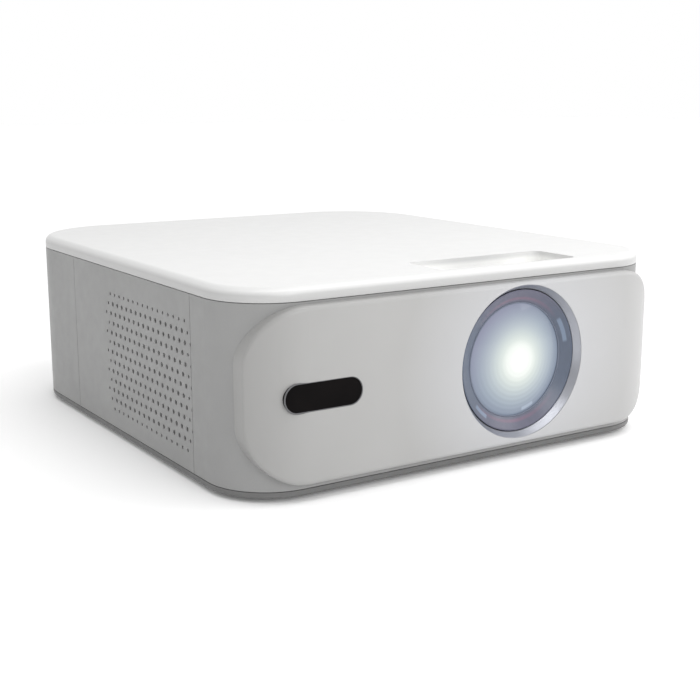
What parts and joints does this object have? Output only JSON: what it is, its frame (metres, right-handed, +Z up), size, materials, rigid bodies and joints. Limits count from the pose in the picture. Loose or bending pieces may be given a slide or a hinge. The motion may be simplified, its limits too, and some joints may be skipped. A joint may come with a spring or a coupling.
{
  "type": "home projector",
  "caption": "Tabletop video projector: white cover over a grey case, raised front plate with a round lens and a dark window, side grilles, focus ring, fans, tilting stand.",
  "frame": {"origin": "on the surface the feet stand on, under the centre of the case", "axes": "+X to the right seen from the front, the lens looks along -Y, +Z up"},
  "size_m": [0.256, 0.29, 0.098],
  "materials": {
    "white_shell": "satin",
    "grey_shell": "satin",
    "front_plate": "fine satin",
    "dark_window": "gloss",
    "silver_trim": "turned",
    "black_plastic": "matt",
    "lens_glass": "coated",
    "heat_glass": "clear",
    "panel_glass": "clear",
    "clear_plastic": "clear",
    "rubber": "matt",
    "steel": "zinc plated",
    "aluminium": "extruded",
    "brass": "turned",
    "circuit_board": "coated",
    "supply_board": "coated",
    "cloth": "woven",
    "cone": "pressed paper",
    "magnet_metal": "painted"
  },
  "bodies": {
    "case": {"audio_jack": "black_plastic", "board_screws": "steel", "bottom_tray": "grey_shell", "case_screws": "steel", "condenser_lens": "lens_glass", "dust_filter_frame": "black_plastic", "engine_cover": "black_plastic", "engine_housing": "black_plastic", "focus_ring_clip": "black_plastic", "front_fresnel_lens": "clear_plastic", "front_plate": "front_plate", "front_shell": "grey_shell", "hdmi_socket": "steel", "heat_glass": "heat_glass", "intake_fan_frame": "black_plastic", "key_board": "circuit_board", "lamp_heatsink": "aluminium", "lcd_frame": "black_plastic", "lcd_panel": "panel_glass", "led_module": "aluminium", "left_grille_cloth": "cloth", "left_side_panel": "grey_shell", "left_speaker_box": "black_plastic", "left_speaker_cone": "cone", "left_speaker_frame": "magnet_metal", "lens_sleeve": "black_plastic", "lens_trim_ring": "silver_trim", "main_board": "circuit_board", "mains_inlet": "black_plastic", "outlet_fan_frame": "black_plastic", "power_supply_board": "supply_board", "processor_heatsink": "aluminium", "rear_fresnel_lens": "clear_plastic", "rear_shell": "grey_shell", "right_grille_cloth": "cloth", "right_side_panel": "grey_shell", "right_speaker_box": "black_plastic", "right_speaker_cone": "cone", "right_speaker_frame": "magnet_metal", "rubber_feet": "rubber", "sensor_board": "circuit_board", "sensor_window": "dark_window", "stand_pin": "steel", "supply_bracket": "steel", "top_cover": "white_shell", "tripod_insert": "brass", "usb_socket": "steel"},
    "focus_ring": {"focus_ring": "black_plastic"},
    "lens_cell": {"lens_barrel": "black_plastic", "focus_drive_pins": "steel", "lens_baffle": "black_plastic", "front_lens": "lens_glass", "second_lens": "lens_glass", "third_lens": "lens_glass", "rear_lens": "lens_glass", "rear_retaining_ring": "black_plastic"},
    "outlet_fan": {"outlet_fan_rotor": "black_plastic"},
    "intake_fan": {"intake_fan_rotor": "black_plastic"},
    "power_button": {"power_button": "dark_window"},
    "tilt_stand": {"tilt_stand": "grey_shell"}
  },
  "joints": [
    {"name": "focus_turn", "type": "hinge", "parent": "case", "child": "focus_ring", "pos_m": [0.028, -0.122, 0.05], "axis": [0, 1, 0], "range_deg": [-60, 60]},
    {"name": "lens_slide", "type": "slide", "parent": "case", "child": "lens_cell", "axis": [0, 1, 0], "range_m": [-0.003, 0.003]},
    {"name": "outlet_fan_spin", "type": "hinge", "parent": "case", "child": "outlet_fan", "pos_m": [0.028, 0.108, 0.05], "axis": [0, 1, 0], "continuous": true},
    {"name": "intake_fan_spin", "type": "hinge", "parent": "case", "child": "intake_fan", "pos_m": [-0.108, -0.016, 0.0465], "axis": [1, 0, 0], "continuous": true},
    {"name": "power_press", "type": "slide", "parent": "case", "child": "power_button", "axis": [0, -1, 0], "range_m": [0, 0.0012], "stiffness_N_per_m": 400},
    {"name": "stand_fold", "type": "hinge", "parent": "case", "child": "tilt_stand", "pos_m": [0, -0.104, 0.0052], "axis": [-1, 0, 0], "range_deg": [0, 85]}
  ],
  "couplings": [
    {"joint": "lens_slide", "follows": "focus_turn", "m_per_rad": -0.00286}
  ]
}
